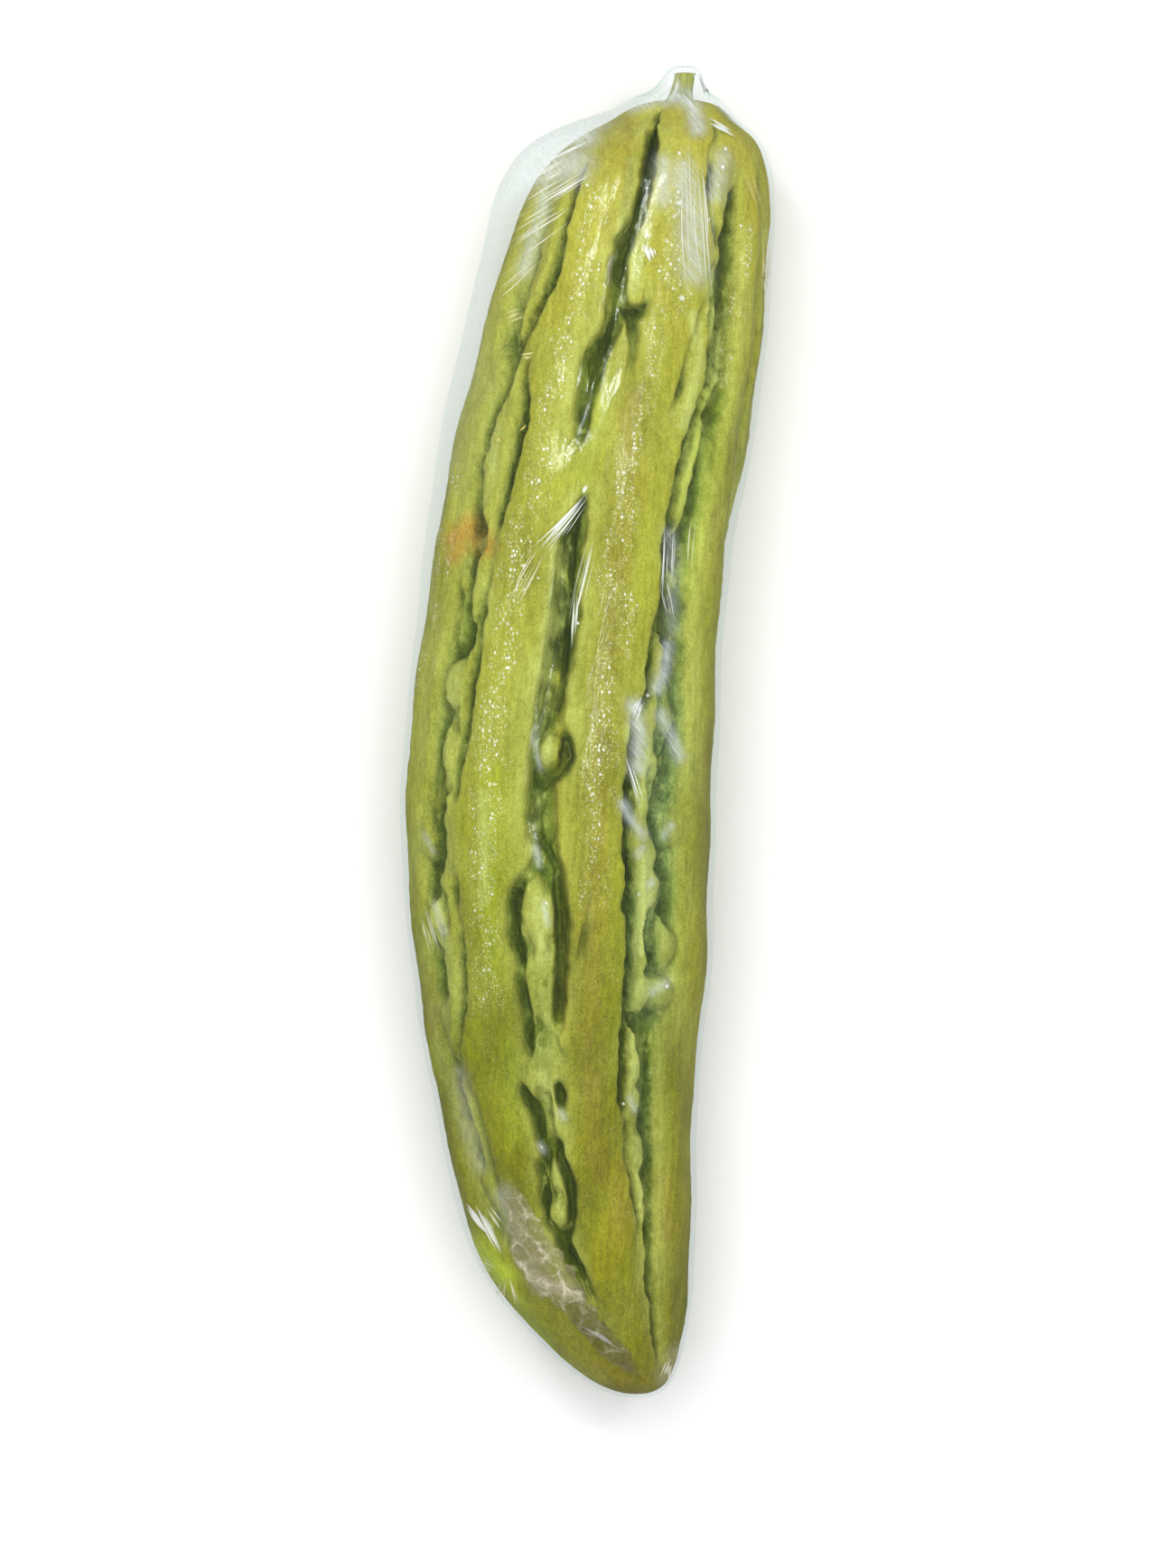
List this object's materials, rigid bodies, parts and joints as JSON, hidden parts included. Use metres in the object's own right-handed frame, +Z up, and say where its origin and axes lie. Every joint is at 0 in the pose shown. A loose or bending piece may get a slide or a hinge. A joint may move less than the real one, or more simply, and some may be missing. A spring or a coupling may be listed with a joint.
{
  "type": "bitter gourd in cling film",
  "caption": "Long, gently bowed bitter gourd with broad ridges and lobed furrows, lying on its side in a clear cling film skin",
  "frame": {"origin": "on the surface that it lies on, under the middle of the object's bounding box", "axes": "+Z up from the surface it lies on; +Y along its length, towards the stalk end; the fruit bows towards -X"},
  "size_m": [0.0817, 0.2891, 0.0676],
  "materials": {
    "skin": "waxy vegetable skin, yellow-green on the ridges and darker green in the furrows",
    "stalk": "cut green stalk, a little fibrous",
    "film": "clear glossy plastic film with stretch streaks and a few crumpled folds"
  },
  "bodies": {
    "root": {"gourd": "skin", "stalk": "stalk", "film": "film"}
  },
  "joints": []
}
